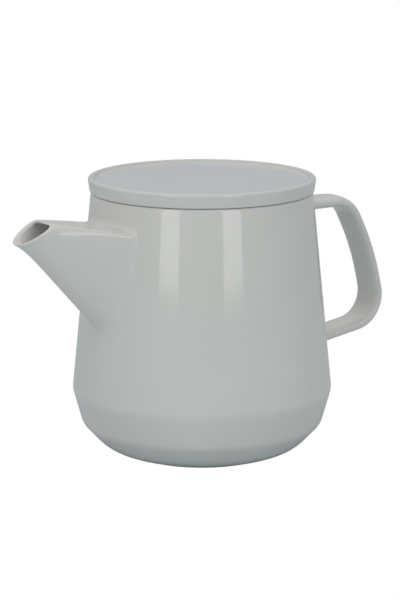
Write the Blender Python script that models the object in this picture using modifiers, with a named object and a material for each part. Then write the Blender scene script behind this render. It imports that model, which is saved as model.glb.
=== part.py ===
"""Porcelain teapot with a hanging stainless infuser basket.

Frame: origin on the pot's axis in the plane of its foot, +Z up, spout towards -X, handle towards +X.
Sizes are in metres. Touching pieces keep a small gap, so each one is a closed solid of its own.
"""

import math

import bmesh
import bpy
from mathutils import Vector

MM = 0.001
GAP = 0.3 * MM                      # between pieces that touch

# Pot body, turned
RIM_R = 55.4 * MM                   # outside radius at the rim
RIM_Z = 132.3 * MM                  # height of the rim
SHOULDER_R = 65.4 * MM              # widest radius
SHOULDER_Z = 32.6 * MM
CREASE_STEP = 1.0 * MM              # the fine crease under it is this much narrower
CREASE_Z = 28.3 * MM
KNUCKLE_R = 60.7 * MM               # where the lower cone turns into the chamfer
KNUCKLE_Z = 15.4 * MM
TOE_R = 50.0 * MM                   # where the chamfer turns in to the foot
TOE_Z = 4.0 * MM
FOOT_R = 38.2 * MM                  # outside of the flat foot ring
FOOT_RING = 4.5 * MM
FOOT_RECESS = 1.2 * MM
WALL = 4.0 * MM
RIM_WALL = 4.2 * MM
LEDGE_DEPTH = 4.0 * MM              # the ledge lies this far under the rim
LEDGE_WIDTH = 4.6 * MM
LEDGE_THICK = 2.8 * MM

# Spout: flat top, half-elliptic keel, open mouth
SPOUT_DROP = 12.8 * MM              # top of the root under the rim
SPOUT_RISE = 0.185                  # slope of the flat top
SPOUT_KEEL_DROP = 50.3 * MM         # keel under the top, at the root
SPOUT_ROOT_HALF = 20.0 * MM         # half width of the flat top at the root
SPOUT_MOUTH_HALF = 9.8 * MM         # half width of the flat top at the mouth
SPOUT_MOUTH_OUT = 34.7 * MM         # from the body out to the mouth's upper edge
SPOUT_TIP_OUT = 51.4 * MM           # from the body out to the pouring lip
SPOUT_TIP_FALL = 9.7 * MM           # lip under the mouth's upper edge
SPOUT_FLARE = 3.7 * MM              # how far the lip curls away from the keel's line
SPOUT_FLARE_RUN = 15.0 * MM
SPOUT_FLARE_POWER = 2.5             # how suddenly it curls
SPOUT_EDGE_R = 2.6 * MM             # rounding of the two upper edges at the root
SPOUT_MOUTH_EDGE_R = 4.4 * MM       # and at the mouth
SPOUT_WALL = 2.5 * MM

# Handle: a flat strap on a rounded outline
STRAP_WIDTH = 18.4 * MM
STRAP_THICK = 6.3 * MM
STRAP_POWER = 2.3                   # squareness of the strap's section, 2 is an ellipse
HANDLE_TOP_DROP = 12.6 * MM         # upper arm's centre line under the rim
HANDLE_LOW_RISE = 12.8 * MM         # lower arm's root above the shoulder
HANDLE_TOP_OUT = 31.3 * MM          # upper corner, out from the body
HANDLE_BEND_OUT = 45.5 * MM         # slight bend in the grip, out from the body
HANDLE_BEND_FALL = 27.6 * MM        # under the upper arm
HANDLE_LOW_OUT = 55.2 * MM          # lower corner, out from the body
HANDLE_LOW_LIFT = 9.8 * MM          # lower corner above the lower arm's root
HANDLE_TOP_R = 16.0 * MM
HANDLE_BEND_R = 165.0 * MM
HANDLE_LOW_R = 15.6 * MM

# Lid: dished disc with a locating ring
LID_OVERHANG = 1.5 * MM             # lid wider than the rim, at its upper edge
LID_TAPER = 1.0 * MM                # and narrower again at the seam
LID_EDGE = 7.2 * MM                 # height of the edge
LID_PLATE = 5.5 * MM
LID_BORDER = 3.8 * MM               # width of the raised border
RING_DEPTH = 9.0 * MM
RING_THICK = 3.2 * MM

# Infuser
FLANGE_CLEAR = 0.8 * MM             # flange to the rim's inside
BORE_CLEAR = 1.2 * MM               # skirt to the ledge's bore
SHEET = 0.8 * MM
TUBE_SHEET = 0.6 * MM
SKIRT_DEPTH = 14.0 * MM
SKIRT_BEND = 1.6 * MM
BASKET_DEPTH = 76.0 * MM            # from the ledge to the basket's underside
BASKET_TAPER = 3.3 * MM             # radius lost from the collar to the base
BASE_LIP = 6.0 * MM
RING_CLEAR = 1.0 * MM               # lid ring to the basket
WIRE_R = 1.0 * MM
LOOP_HALF = 10.0 * MM
LOOP_WELD = 8.0 * MM                # length of each welded leg
LOOP_JOG = 6.0 * MM                 # height over which a leg leans inwards
LOOP_RISE = 10.0 * MM               # from there up to the arch
LOOP_CLEAR = 1.2 * MM               # loop to the lid's ring and underside
LOOP_CORNER = 7.0 * MM

# Fineness
POT_STEPS = 60
STEEL_STEPS = 48
STRAP_POINTS = 20
ARC_STEP = math.radians(30)
ARC_CHORD = 0.75 * MM               # no shorter edge on an arc
MERGE = 0.00001

# Places worked out from the sizes above
LEDGE_Z = RIM_Z - LEDGE_DEPTH
RIM_IN_R = RIM_R - RIM_WALL
BORE_R = RIM_IN_R - LEDGE_WIDTH
WALL_SLOPE = (SHOULDER_R - RIM_R) / (RIM_Z - SHOULDER_Z)
FLANGE_Z = LEDGE_Z + GAP
SKIRT_R = BORE_R - BORE_CLEAR
TUBE_R = SKIRT_R - SHEET - GAP
TUBE_TOP = FLANGE_Z - SHEET
TUBE_LOW = LEDGE_Z - BASKET_DEPTH
LID_Z = RIM_Z + GAP
RING_R = TUBE_R - TUBE_SHEET - RING_CLEAR
ROOT_TOP_Z = RIM_Z - SPOUT_DROP


def body_r(z):
    """Outside radius of the straight part of the body at height z."""
    return RIM_R + WALL_SLOPE * (RIM_Z - z)


def tube_r(z):
    """Outside radius of the basket's wall at height z."""
    return TUBE_R - BASKET_TAPER * (TUBE_TOP - z) / (TUBE_TOP - TUBE_LOW)


def squared(wave):
    """A sine or cosine pushed outwards, which squares an ellipse up."""
    return math.copysign(abs(wave) ** (2 / STRAP_POWER), wave)


def clear_scene():
    for obj in list(bpy.data.objects):
        bpy.data.objects.remove(obj, do_unlink=True)


def collection(name):
    group = bpy.data.collections.new(name)
    bpy.context.scene.collection.children.link(group)
    return group


def material(name, colour, roughness, metallic=0.0):
    mat = bpy.data.materials.new(name)
    mat.use_nodes = True
    shader = mat.node_tree.nodes["Principled BSDF"]
    shader.inputs["Base Color"].default_value = (*colour, 1.0)
    shader.inputs["Roughness"].default_value = roughness
    shader.inputs["Metallic"].default_value = metallic
    return mat


def rounded(corners, closed=False):
    """Points of an outline. Each corner is (point..., radius), and a radius above 0 makes an arc there."""
    points = []
    count = len(corners)
    for i, corner in enumerate(corners):
        here = Vector(corner[:-1])
        radius = corner[-1]
        at_end = not closed and i in (0, count - 1)
        if at_end or radius <= 0.0:
            points.append(here)
            continue
        back = Vector(corners[i - 1][:-1]) - here
        ahead = Vector(corners[(i + 1) % count][:-1]) - here
        half = back.angle(ahead) / 2
        cut = min(radius / math.tan(half), 0.49 * back.length, 0.49 * ahead.length)
        radius = cut * math.tan(half)
        centre = here + (back.normalized() + ahead.normalized()).normalized() * (radius / math.sin(half))
        first = here + back.normalized() * cut - centre
        last = here + ahead.normalized() * cut - centre
        turn = math.pi - 2 * half
        steps = max(1, min(math.ceil(turn / ARC_STEP), round(radius * turn / ARC_CHORD)))
        for k in range(steps + 1):
            share = k / steps
            arm = first * math.sin((1 - share) * turn) + last * math.sin(share * turn)
            points.append(centre + arm / math.sin(turn))
    return points


def add(name, mesh, group, mat=None):
    obj = bpy.data.objects.new(name, mesh)
    group.objects.link(obj)
    if mat:
        mesh.materials.append(mat)
    return obj


def as_cutter(obj):
    obj.hide_render = True
    obj.display_type = "WIRE"
    return obj


def smooth(mesh):
    mesh.shade_smooth()
    mesh.set_sharp_from_angle(angle=math.radians(35))


def turned(name, outline, steps, group, mat, closed=False):
    """A solid turned about Z from (radius, height) points that run down its outer side."""
    mesh = bpy.data.meshes.new(name)
    edges = [(i, i + 1) for i in range(len(outline) - 1)]
    if closed:
        edges.append((len(outline) - 1, 0))
    mesh.from_pydata([(r, 0.0, z) for r, z in outline], edges, [])
    obj = add(name, mesh, group, mat)
    screw = obj.modifiers.new("turn", "SCREW")
    screw.axis = "Z"
    screw.steps = steps
    screw.render_steps = steps
    screw.use_merge_vertices = True
    screw.merge_threshold = MERGE
    screw.use_smooth_shade = True
    return obj


def loft(name, rings, group, mat=None):
    """A closed solid through rings of equal point counts, with flat ends."""
    count = len(rings[0])
    bm = bmesh.new()
    rows = [[bm.verts.new(point) for point in ring] for ring in rings]
    for low, high in zip(rows, rows[1:]):
        for i in range(count):
            j = (i + 1) % count
            bm.faces.new((low[i], low[j], high[j], high[i]))
    bm.faces.new(rows[0])
    bm.faces.new(rows[-1])
    bmesh.ops.recalc_face_normals(bm, faces=bm.faces)
    mesh = bpy.data.meshes.new(name)
    bm.to_mesh(mesh)
    bm.free()
    smooth(mesh)
    return add(name, mesh, group, mat)


def frame_empty(name, group, parent):
    """A moving group's frame. All of them slide along the pot's axis, so each one sits on it."""
    empty = bpy.data.objects.new(name + "_frame", None)
    group.objects.link(empty)
    empty.parent = parent
    return empty


def cut(obj, cutter):
    boolean = obj.modifiers.new("cut_" + cutter.name, "BOOLEAN")
    boolean.operation = "DIFFERENCE"
    boolean.object = cutter


def pot_body(group, mat):
    lean = Vector((TOE_R - KNUCKLE_R, TOE_Z - KNUCKLE_Z)).normalized()
    inward = Vector((lean.y, -lean.x)) * WALL
    floor_z = FOOT_RECESS + WALL
    knuckle_in = Vector((KNUCKLE_R, KNUCKLE_Z)) + inward
    run = (knuckle_in.y - floor_z) / -lean.y
    floor_r = knuckle_in.x + lean.x * run
    ledge_low = LEDGE_Z - LEDGE_THICK
    inside_r = body_r(ledge_low - LEDGE_WIDTH) - WALL
    haunch_z = ledge_low - (inside_r - BORE_R)
    outline = rounded([
        (0.0, floor_z, 0.0),
        (floor_r, floor_z, 9 * MM),
        (knuckle_in.x, knuckle_in.y, 6 * MM),
        (SHOULDER_R - WALL, SHOULDER_Z, 8 * MM),
        (body_r(haunch_z) - WALL, haunch_z, 3 * MM),
        (BORE_R, ledge_low, 0.8 * MM),
        (BORE_R, LEDGE_Z, 0.5 * MM),
        (RIM_IN_R, LEDGE_Z, 0.5 * MM),
        (RIM_IN_R, RIM_Z, 0.8 * MM),
        (RIM_R, RIM_Z, 1.0 * MM),
        (SHOULDER_R, SHOULDER_Z, 5 * MM),
        (SHOULDER_R - CREASE_STEP, CREASE_Z, 0.0),
        (KNUCKLE_R, KNUCKLE_Z, 8.8 * MM),
        (TOE_R, TOE_Z, 20 * MM),
        (FOOT_R, 0.0, 0.0),
        (FOOT_R - FOOT_RING, 0.0, 0.0),
        (FOOT_R - FOOT_RING - FOOT_RECESS, FOOT_RECESS, 0.0),
        (0.0, FOOT_RECESS, 0.0),
    ])
    return turned("pot_body", outline, POT_STEPS, group, mat)


def spout_ring(along, wall):
    """One section of the spout; along is 0 inside the pot and 1 at the mouth. wall thins it all round."""
    root_r = body_r(ROOT_TOP_Z)
    keel_z = ROOT_TOP_Z - SPOUT_KEEL_DROP
    keel_r = body_r(keel_z)
    start = root_r - 13 * MM
    mouth = root_r + SPOUT_MOUTH_OUT
    tip = root_r + SPOUT_TIP_OUT
    mouth_z = ROOT_TOP_Z + SPOUT_RISE * SPOUT_MOUTH_OUT
    tip_z = mouth_z - SPOUT_TIP_FALL
    keel_slope = (tip_z + SPOUT_FLARE - keel_z) / (tip - keel_r)
    narrowing = (SPOUT_ROOT_HALF - SPOUT_MOUTH_HALF) / SPOUT_MOUTH_OUT

    top_x = start + (mouth - start) * along
    low_x = start + (tip - start) * along
    bend = max(0.0, (low_x - tip) / SPOUT_FLARE_RUN + 1.0)
    top = Vector((-top_x, 0.0, ROOT_TOP_Z + SPOUT_RISE * (top_x - root_r)))
    curl = SPOUT_FLARE * bend ** SPOUT_FLARE_POWER
    low = Vector((-low_x, 0.0, keel_z + keel_slope * (low_x - keel_r) - curl))
    down = (low - top).normalized()
    depth = (low - top).length
    half = SPOUT_ROOT_HALF - narrowing * (top_x - root_r)

    half -= wall
    edge = SPOUT_EDGE_R + (SPOUT_MOUTH_EDGE_R - SPOUT_EDGE_R) * max(0.0, along) - 0.5 * wall
    top = top + down * wall
    depth -= 2.2 * wall
    points = []
    for k in range(5):
        angle = math.pi / 2 * k / 4
        points.append((half - edge + edge * math.sin(angle), edge - edge * math.cos(angle)))
    for k in range(1, 16):
        angle = math.pi * k / 16
        points.append((half * math.cos(angle), edge + (depth - edge) * math.sin(angle)))
    for k in range(5):
        angle = math.pi / 2 * (1 - k / 4)
        points.append((edge - half - edge * math.sin(angle), edge - edge * math.cos(angle)))
    return [top + down * v + Vector((0.0, u, 0.0)) for u, v in points]


def spout(group, cutters, mat):
    shell = loft("spout", [spout_ring(k / 14, 0.0) for k in range(15)], group, mat)
    passage = loft("pour_passage", [spout_ring(k / 14, SPOUT_WALL) for k in range(-1, 17)], cutters)
    as_cutter(passage)
    return shell, passage


def handle(group, mat):
    top_z = RIM_Z - HANDLE_TOP_DROP
    low_z = SHOULDER_Z + HANDLE_LOW_RISE
    root_r = body_r(top_z)
    inside = root_r - 2 * WALL
    route = rounded([
        (inside, 0.0, top_z, 0.0),
        (root_r + HANDLE_TOP_OUT, 0.0, top_z, HANDLE_TOP_R),
        (root_r + HANDLE_BEND_OUT, 0.0, top_z - HANDLE_BEND_FALL, HANDLE_BEND_R),
        (root_r + HANDLE_LOW_OUT, 0.0, low_z + HANDLE_LOW_LIFT, HANDLE_LOW_R),
        (inside, 0.0, low_z, 0.0),
    ])
    rings = []
    for i, here in enumerate(route):
        along = (route[min(i + 1, len(route) - 1)] - route[max(i - 1, 0)]).normalized()
        out = Vector((-along.z, 0.0, along.x))
        ring = []
        for k in range(STRAP_POINTS):
            angle = 2 * math.pi * k / STRAP_POINTS
            wide = squared(math.cos(angle)) * STRAP_WIDTH / 2
            thick = squared(math.sin(angle)) * STRAP_THICK / 2
            ring.append(here + Vector((0.0, wide, 0.0)) + out * thick)
        rings.append(ring)
    return loft("handle", rings, group, mat)


def lid(group, mat):
    top_z = LID_Z + LID_EDGE
    floor_z = LID_Z + LID_PLATE
    edge_r = RIM_R + LID_OVERHANG
    floor_r = edge_r - LID_BORDER
    outline = rounded([
        (0.0, floor_z, 0.0),
        (floor_r, floor_z, 1.6 * MM),
        (edge_r - 2.7 * MM, top_z, 1.1 * MM),
        (edge_r, top_z, 1.7 * MM),
        (edge_r - LID_TAPER, LID_Z, 0.7 * MM),
        (RING_R, LID_Z, 0.0),
        (RING_R, LID_Z - RING_DEPTH, 1.2 * MM),
        (RING_R - RING_THICK, LID_Z - RING_DEPTH, 1.2 * MM),
        (RING_R - RING_THICK, LID_Z, 1.5 * MM),
        (0.0, LID_Z, 0.0),
    ])
    return turned("lid", outline, POT_STEPS, group, mat)


def infuser_collar(group, mat):
    flange_r = RIM_IN_R - FLANGE_CLEAR
    top_z = FLANGE_Z + SHEET
    low_z = FLANGE_Z - SKIRT_DEPTH
    outline = rounded([
        (flange_r, top_z, 0.0),
        (flange_r, FLANGE_Z, 0.0),
        (SKIRT_R, FLANGE_Z, SKIRT_BEND - SHEET),
        (SKIRT_R, low_z, 0.0),
        (SKIRT_R - SHEET, low_z, 0.0),
        (SKIRT_R - SHEET, top_z, SKIRT_BEND),
    ], closed=True)
    return turned("infuser_collar", outline, STEEL_STEPS, group, mat, closed=True)


def infuser_wall(group, mat):
    outline = [
        (tube_r(TUBE_TOP), TUBE_TOP),
        (tube_r(TUBE_LOW), TUBE_LOW),
        (tube_r(TUBE_LOW) - TUBE_SHEET, TUBE_LOW),
        (tube_r(TUBE_TOP) - TUBE_SHEET, TUBE_TOP),
    ]
    return turned("infuser_wall", outline, STEEL_STEPS, group, mat, closed=True)


def infuser_base(group, mat):
    lip_z = TUBE_LOW + BASE_LIP
    low_r = tube_r(TUBE_LOW) - TUBE_SHEET - GAP
    lip_r = tube_r(lip_z) - TUBE_SHEET - GAP
    outline = rounded([
        (0.0, TUBE_LOW + TUBE_SHEET, 0.0),
        (low_r - TUBE_SHEET, TUBE_LOW + TUBE_SHEET, 0.8 * MM),
        (lip_r - TUBE_SHEET, lip_z, 0.0),
        (lip_r, lip_z, 0.0),
        (low_r, TUBE_LOW, 1.4 * MM),
        (0.0, TUBE_LOW, 0.0),
    ])
    return turned("infuser_base", outline, STEEL_STEPS, group, mat)


def lift_loop(name, side, group, mat):
    """A bent wire with its legs on the basket's wall and its arch inside the lid's ring."""
    arch_z = LID_Z - LOOP_CLEAR - WIRE_R
    lean_top = arch_z - LOOP_RISE
    lean_low = lean_top - LOOP_JOG
    weld_low = lean_low - LOOP_WELD
    leg_r = tube_r(weld_low) - TUBE_SHEET - GAP - WIRE_R
    arch_r = RING_R - RING_THICK - LOOP_CLEAR - WIRE_R
    leg_y = side * math.sqrt(leg_r ** 2 - LOOP_HALF ** 2)
    arch_y = side * math.sqrt(arch_r ** 2 - LOOP_HALF ** 2)
    half_route = [
        (LOOP_HALF, leg_y, weld_low, 0.0),
        (LOOP_HALF, leg_y, lean_low, 4 * MM),
        (LOOP_HALF, arch_y, lean_top, 4 * MM),
        (LOOP_HALF, arch_y, arch_z, LOOP_CORNER),
    ]
    other_half = [(-x, y, z, radius) for x, y, z, radius in reversed(half_route)]
    route = rounded(half_route + other_half)
    curve = bpy.data.curves.new(name, "CURVE")
    curve.dimensions = "3D"
    curve.bevel_depth = WIRE_R
    curve.bevel_resolution = 2
    curve.use_fill_caps = True
    spline = curve.splines.new("POLY")
    spline.points.add(len(route) - 1)
    for point, place in zip(spline.points, route):
        point.co = (*place, 1.0)
    curve.materials.append(mat)
    obj = bpy.data.objects.new(name, curve)
    group.objects.link(obj)
    return obj


def body_cone(group):
    """The straight outside of the body and a gap, which trims the roots of the spout and the handle."""
    height = RIM_Z + 20 * MM
    mesh = bpy.data.meshes.new("body_cone")
    bm = bmesh.new()
    bmesh.ops.create_cone(
        bm, cap_ends=True, segments=POT_STEPS, depth=height,
        radius1=body_r(0.0) + GAP, radius2=body_r(height) + GAP,
    )
    bmesh.ops.translate(bm, vec=(0.0, 0.0, height / 2), verts=bm.verts)
    bm.to_mesh(mesh)
    bm.free()
    return as_cutter(add("body_cone", mesh, group))


def main():
    clear_scene()
    parts = collection("teapot_infuser")
    cutters = collection("cutters")
    glaze = material("glaze", (0.66, 0.67, 0.64), 0.15)
    spout_glaze = material("spout_glaze", (0.66, 0.67, 0.64), 0.15)
    handle_glaze = material("handle_glaze", (0.66, 0.67, 0.64), 0.15)
    lid_glaze = material("lid_glaze", (0.66, 0.68, 0.66), 0.15)
    collar_steel = material("collar_steel", (0.62, 0.61, 0.59), 0.25, 1.0)
    wall_steel = material("wall_steel", (0.60, 0.59, 0.57), 0.35, 1.0)
    base_steel = material("base_steel", (0.60, 0.59, 0.57), 0.35, 1.0)
    left_wire = material("left_wire_steel", (0.62, 0.61, 0.59), 0.25, 1.0)
    right_wire = material("right_wire_steel", (0.62, 0.61, 0.59), 0.25, 1.0)

    cone = body_cone(cutters)
    body = pot_body(parts, glaze)
    spout_shell, passage = spout(parts, cutters, spout_glaze)
    grip = handle(parts, handle_glaze)
    cut(body, passage)
    cut(spout_shell, passage)
    cut(spout_shell, cone)
    cut(grip, cone)
    pot = [body, spout_shell, grip]

    basket = [
        infuser_collar(parts, collar_steel),
        infuser_wall(parts, wall_steel),
        infuser_base(parts, base_steel),
        lift_loop("lift_loop_left", -1, parts, left_wire),
        lift_loop("lift_loop_right", 1, parts, right_wire),
    ]
    cover = [lid(parts, lid_glaze)]

    pot_frame = frame_empty("pot", parts, None)
    basket_frame = frame_empty("infuser", parts, pot_frame)
    cover_frame = frame_empty("cover", parts, basket_frame)
    for frame, pieces in ((pot_frame, pot), (basket_frame, basket), (cover_frame, cover)):
        for piece in pieces:
            piece.parent = frame


main()
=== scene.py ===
"""A porcelain teapot with a hanging infuser basket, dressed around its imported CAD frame."""

import math

import bmesh
import bpy
import numpy as np
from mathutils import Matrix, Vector, geometry


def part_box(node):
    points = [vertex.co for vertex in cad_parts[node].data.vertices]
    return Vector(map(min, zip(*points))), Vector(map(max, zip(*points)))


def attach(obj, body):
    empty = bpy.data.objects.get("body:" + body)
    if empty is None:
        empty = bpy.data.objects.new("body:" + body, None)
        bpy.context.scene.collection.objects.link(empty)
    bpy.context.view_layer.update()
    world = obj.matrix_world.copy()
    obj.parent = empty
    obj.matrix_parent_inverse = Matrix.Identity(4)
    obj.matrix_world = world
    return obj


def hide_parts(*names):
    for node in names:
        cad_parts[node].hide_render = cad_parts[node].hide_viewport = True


MM = 0.001

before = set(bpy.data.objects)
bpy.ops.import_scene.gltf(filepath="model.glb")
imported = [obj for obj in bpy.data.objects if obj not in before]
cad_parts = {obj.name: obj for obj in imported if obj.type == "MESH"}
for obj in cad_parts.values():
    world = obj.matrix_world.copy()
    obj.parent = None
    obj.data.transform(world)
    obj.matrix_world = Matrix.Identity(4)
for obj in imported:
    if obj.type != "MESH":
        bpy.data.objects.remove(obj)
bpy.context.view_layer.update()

# ---------------- sizes from the frame
POT_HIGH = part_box("pot_body")[1]
LID_LOW, LID_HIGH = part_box("lid")
COLLAR_LOW, COLLAR_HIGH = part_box("infuser_collar")
TUBE_LOW, TUBE_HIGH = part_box("infuser_wall")
BASE_LOW, BASE_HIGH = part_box("infuser_base")
LOOP_LOW, LOOP_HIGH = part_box("lift_loop_right")

RIM_Z = POT_HIGH[2]
RIM_R = 55.4 * MM
SHOULDER_R = 65.4 * MM
SHOULDER_Z = 32.6 * MM
CREASE_R = 64.4 * MM
CREASE_Z = 28.3 * MM
KNUCKLE_R = 60.7 * MM
KNUCKLE_Z = 15.4 * MM
TOE_R = 50.0 * MM
TOE_Z = 4.0 * MM
FOOT_R = 38.2 * MM
FOOT_RING = 4.5 * MM
FOOT_RECESS = 1.2 * MM
WALL = 4.0 * MM
RIM_WALL = 4.2 * MM
LEDGE_DEPTH = 4.0 * MM
LEDGE_WIDTH = 4.6 * MM
LEDGE_THICK = 2.8 * MM
WALL_SLOPE = (SHOULDER_R - RIM_R) / (RIM_Z - SHOULDER_Z)

LID_SEAT_Z = RIM_Z + 0.3 * MM
LID_R = RIM_R + 1.5 * MM
LID_DISH_Z = LID_SEAT_Z + 5.5 * MM  # floor of the dish on top
LID_BORDER = 3.9 * MM  # from the dish's floor to the edge
LID_BEVEL = 2.8 * MM  # its highest line lies this far inside the edge
LID_BEVEL_FALL = 0.25 * MM
LID_DRAW = 1.0 * MM  # the edge draws in this far towards the rim
RING_THICK = 3.2 * MM
BASKET_TAPER = 3.3 * MM
SHEET = 0.8 * MM
TUBE_SHEET = 0.6 * MM
RING_R = TUBE_HIGH[0] - TUBE_SHEET - 1.0 * MM
HOLE_PITCH = 3.2 * MM
HOLE_R = 0.7 * MM
TUBE_CELLS = 168
TUBE_PLAIN_LOW = 7.5 * MM  # sheet without holes at the bottom
TUBE_PLAIN_HIGH = 1.5 * MM  # and under the collar
SEAM_CELL = TUBE_CELLS // 2 - 2  # middle of the strip that is left whole for the seam
SEAM_CELLS = 2  # cells of it on each side
SEAM_RISE = 0.15 * MM
LOOP_HALF = 10.0 * MM
LOOP_JOG = 6.0 * MM
LOOP_RISE = 10.0 * MM
LOOP_CLEAR = 1.2 * MM
LOOP_CORNER = 7.0 * MM
LOOP_BEND_R = 4 * MM
WELD_HEIGHTS = (2.0 * MM, 5.5 * MM)

SPOUT_ROOT_Z = RIM_Z - 12.8 * MM
SPOUT_RISE = 0.185
SPOUT_KEEL_DROP = 50.3 * MM
SPOUT_ROOT_HALF = 20.0 * MM
SPOUT_MOUTH_HALF = 9.8 * MM
SPOUT_MOUTH_OUT = 34.7 * MM
SPOUT_TIP_OUT = 51.1 * MM
SPOUT_TIP_FALL = 9.7 * MM
SPOUT_FLARE = 3.7 * MM
SPOUT_FLARE_RUN = 15.0 * MM
SPOUT_FLARE_POWER = 2.5
LIP_ROLL = 0.5 * MM  # the mouth's edge stands out this far
LIP_ROLL_FROM = 0.88  # from this share of the spout's length
SPOUT_EDGE_R = 1.9 * MM
SPOUT_MOUTH_EDGE_R = 4.4 * MM
SPOUT_EDGE_POWER = 5  # how late the edges grow rounder
SPOUT_BEHIND = 13 * MM  # the spout's lines start this far inside the body's outside
SPOUT_WALL = 2.5 * MM
SIDE_WALL_GROWS = 0.16  # share by which the side walls thicken at the mouth
TOP_WALL_THINS = 0.36  # share by which the top wall thins at the mouth
TOP_WALL_FROM = 0.75  # from this share of the spout's length
KEEL_WALL = 1.2  # wall under the passage, in wall thicknesses
PASSAGE_FROM = -0.12  # where the passage's lines start, inside the body
INNER_SHORT = 0.7  # the passage stops this short of the mouth, in wall thicknesses
INNER_SHORT_KEEL = 1.3  # and this much more at the keel
LIP_PULL = 0.667  # how full the rounded lip is
LIP_PULL_MOST = 0.9  # but outside no more than this, in wall thicknesses

STRAP_WIDTH = 18.4 * MM
STRAP_THICK = 6.3 * MM
STRAP_POWER = 2.3
HANDLE_Z = RIM_Z - 12.6 * MM
HANDLE_LOW_Z = 45.4 * MM
STRAP_FILLET = 2.2 * MM
STRAP_STEP = 0.25 * MM
STRAP_SOFT = 11  # steps each way that soften a straight run into a bend
HANDLE_CORNERS = (  # out from the body, height, radius
    (31.6 * MM, HANDLE_Z, 15.0 * MM),
    (45.7 * MM, HANDLE_Z - 27.6 * MM, 150.0 * MM),
    (54.5 * MM, HANDLE_LOW_Z + 9.8 * MM, 15.6 * MM),
)

# ---------------- light, view and colour
CAMERA_TURN = 34.3  # degrees, from square to the pot's side towards the spout
CAMERA_RISE = 12.24
CAMERA_AWAY = 1.138
AIM_Z = 76.5 * MM
AIM_LEFT = 1.0 * MM
LENS = 135.7
SKY = (  # height of the direction, colour of the light from there
    (0.00, (0.48, 0.49, 0.49)),
    (0.07, (0.44, 0.46, 0.475)),
    (0.16, (0.42, 0.46, 0.52)),
    (0.30, (0.54, 0.555, 0.57)),
    (0.65, (0.80, 0.80, 0.785)),
    (1.00, (1.06, 1.05, 1.03)),
)
SKY_STRENGTH = 0.79
SKY_MOST = 2.0  # the sky's factors stay below this
SKY_BEHIND = 1.33  # factor on the sky behind the pot
SKY_FRONT = 0.97  # behind the camera
SKY_RIGHT = 0.74  # on the handle's side
SKY_LEFT = 0.91  # and on the spout's side
FLOOR_COLOUR = (0.595, 0.66, 0.70, 1.0)
FLOOR_HALF = 3.0
FLOOR_DROP = 0.2 * MM  # keeps the floor clear of the foot
SOFTBOXES = (("softbox_left", -38.6, -20.5), ("softbox_right", 22.0, 40.6))
BOX_AWAY = 1.5
BOX_LOW, BOX_FULL, BOX_HIGH = 0.045, 0.085, 1.4  # bottom edge, height of full light, top edge
BOX_STRENGTH = 2.15
GLAZE_TONE = (0.735, 0.73, 0.695)
LID_TONE = (0.70, 0.71, 0.685)
# the inside's glaze is lighter than the outside's: painted light standing in for light that reaches the
# pot's and spout's hollows
INSIDE_PAINTED_LIGHT_TONE = (0.93, 0.92, 0.89)
GLAZED, BARE, PAINTED_LIGHT_INSIDE = 0, 1, 2  # material slots of the pot, the third a glaze made lighter inside as painted light; the lid has the first two

# ---------------- fineness
COLUMNS = 240  # round the pot
ROW = 1.6 * MM  # down its outside
ROW_IN = 1.49 * MM  # down its inside
FINE_ARC = math.radians(9)
SPOUT_COLS, SPOUT_ROWS = 38, 40  # window cut for the spout, in columns and rows
STRAP_COLS, STRAP_ROWS = 18, 12  # window cut for each end of the handle
SPOUT_WINDOW_Z = 127.6 * MM  # top of the spout's window, outside
SPOUT_WINDOW_IN_Z = 119.0 * MM  # and inside
RIM_ROWS = 3  # rows at the top of the inside that have the outer glaze
SPOUT_FILLET = (  # line from the top centre, reach on the body, reach along the spout
    (0, 5.4 * MM, 7.5 * MM),
    (0.7 * SPOUT_COLS / 2, 4.9 * MM, 7.0 * MM),
    (SPOUT_COLS / 2, 2.3 * MM, 2.8 * MM),
    (1.2 * SPOUT_COLS / 2, 1.7 * MM, 2.2 * MM),
    (46, 3.0 * MM, 10.0 * MM),
    (SPOUT_COLS + SPOUT_ROWS, 1.8 * MM, 3.5 * MM),
)
PASSAGE_FILLET = 1.2 * MM
SPOUT_RINGS, STRAP_RINGS, LIP_RINGS = 30, 96, 10
COLLAR_COLUMNS = 192
BASE_COLUMNS = 144


def body_r(z):
    """Outside radius of the straight part of the pot at height z."""
    return RIM_R + WALL_SLOPE * (RIM_Z - z)


# ---------------- outlines
def rounded(corners, closed=False, arc=FINE_ARC):
    """Points of an outline. Each corner is (point..., radius), and a radius above 0 makes an arc there."""
    points = []
    count = len(corners)
    for i, corner in enumerate(corners):
        here = Vector(corner[:-1])
        radius = corner[-1]
        at_end = not closed and i in (0, count - 1)
        if at_end or radius <= 0.0:
            points.append(here)
            continue
        back = Vector(corners[i - 1][:-1]) - here
        ahead = Vector(corners[(i + 1) % count][:-1]) - here
        half = back.angle(ahead) / 2
        cut = min(radius / math.tan(half), 0.49 * back.length, 0.49 * ahead.length)
        radius = cut * math.tan(half)
        centre = here + (back.normalized() + ahead.normalized()).normalized() * (radius / math.sin(half))
        first = here + back.normalized() * cut - centre
        last = here + ahead.normalized() * cut - centre
        turn = math.pi - 2 * half
        steps = max(2, math.ceil(turn / arc))
        for k in range(steps + 1):
            share = k / steps
            arm = first * math.sin((1 - share) * turn) + last * math.sin(share * turn)
            points.append(centre + arm / math.sin(turn))
    return [tuple(point) for point in points]


def divided(points, step, closed=False):
    """The same outline with its long straight runs divided into steps."""
    result = []
    pairs = list(zip(points, points[1:] + points[:1])) if closed else list(zip(points, points[1:]))
    for a, b in pairs:
        a, b = np.array(a), np.array(b)
        count = max(1, round(float(np.linalg.norm(b - a)) / step))
        result += [tuple(a + (b - a) * k / count) for k in range(count)]
    if not closed:
        result.append(tuple(points[-1]))
    return result


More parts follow.
